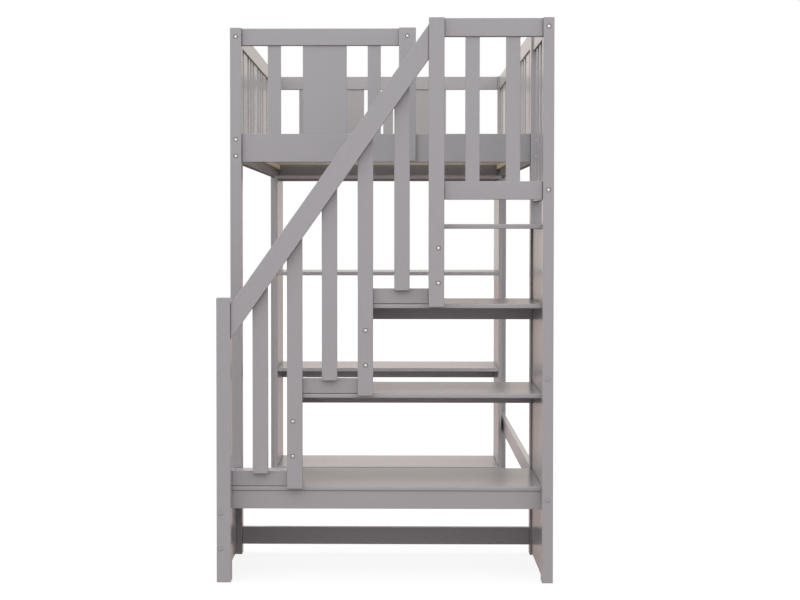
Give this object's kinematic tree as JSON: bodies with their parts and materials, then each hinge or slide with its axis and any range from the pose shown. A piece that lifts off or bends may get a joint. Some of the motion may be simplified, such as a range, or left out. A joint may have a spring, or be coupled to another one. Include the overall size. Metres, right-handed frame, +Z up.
{
  "type": "loft bed with storage stair and bookcase",
  "caption": "Raised single bed frame with slatted guard rails, an open storage stair across its foot end and a bookcase between the legs of its head end.",
  "frame": {"origin": "on the floor, midway between the outer faces of the legs and midway between the stair's front and the outer face of the head end", "axes": "+X across the bed towards the wall side, where the stair ends; +Y from the stair and foot end to the head end; +Z up"},
  "size_m": [1.067, 2.483, 1.8065],
  "materials": {
    "grey_paint": "satin grey paint on wood",
    "pine": "planed bare pine",
    "zinc": "bright zinc plate on the bolt, nut and screw heads of the visual model"
  },
  "bodies": {
    "root": {"baluster_1": "grey_paint", "baluster_2": "grey_paint", "baluster_3": "grey_paint", "bookcase_back_apron": "grey_paint", "bookcase_bottom_shelf": "grey_paint", "bookcase_left_side": "grey_paint", "bookcase_middle_shelf": "grey_paint", "bookcase_right_side": "grey_paint", "bookcase_top": "grey_paint", "bookcase_upper_shelf": "grey_paint", "foot_entry_post": "grey_paint", "foot_guard_panel": "grey_paint", "foot_guard_slat_1": "grey_paint", "foot_guard_slat_2": "grey_paint", "foot_guard_top_rail": "grey_paint", "foot_rail": "grey_paint", "foot_stretcher": "grey_paint", "front_left_leg": "grey_paint", "front_right_leg": "grey_paint", "handrail": "grey_paint", "head_guard_panel_1": "grey_paint", "head_guard_panel_2": "grey_paint", "head_guard_slat_1": "grey_paint", "head_guard_slat_2": "grey_paint", "head_guard_slat_3": "grey_paint", "head_guard_top_rail": "grey_paint", "head_left_leg": "grey_paint", "head_rail": "grey_paint", "head_right_leg": "grey_paint", "kick_rail_1": "grey_paint", "kick_rail_2": "grey_paint", "kick_rail_3": "grey_paint", "landing_guard_low_rail": "grey_paint", "landing_guard_slat_1": "grey_paint", "landing_guard_slat_2": "grey_paint", "landing_guard_top_rail": "grey_paint", "landing_side_guard": "grey_paint", "left_guard": "grey_paint", "left_side_rail": "grey_paint", "lower_wall_rail": "grey_paint", "right_guard": "grey_paint", "right_side_rail": "grey_paint", "slat_deck": "pine", "stair_left_panel": "grey_paint", "stair_newel": "grey_paint", "stair_post_1": "grey_paint", "stair_post_2": "grey_paint", "stair_top_newel": "grey_paint", "stair_wall_panel": "grey_paint", "stair_wall_post": "grey_paint", "tread_1": "grey_paint", "tread_1_front_apron": "grey_paint", "tread_2": "grey_paint", "tread_2_back_apron": "grey_paint", "tread_3": "grey_paint", "tread_3_back_apron": "grey_paint", "tread_4": "grey_paint", "tread_divider_1": "grey_paint", "tread_divider_2": "grey_paint", "tread_divider_3": "grey_paint"}
  },
  "joints": []
}
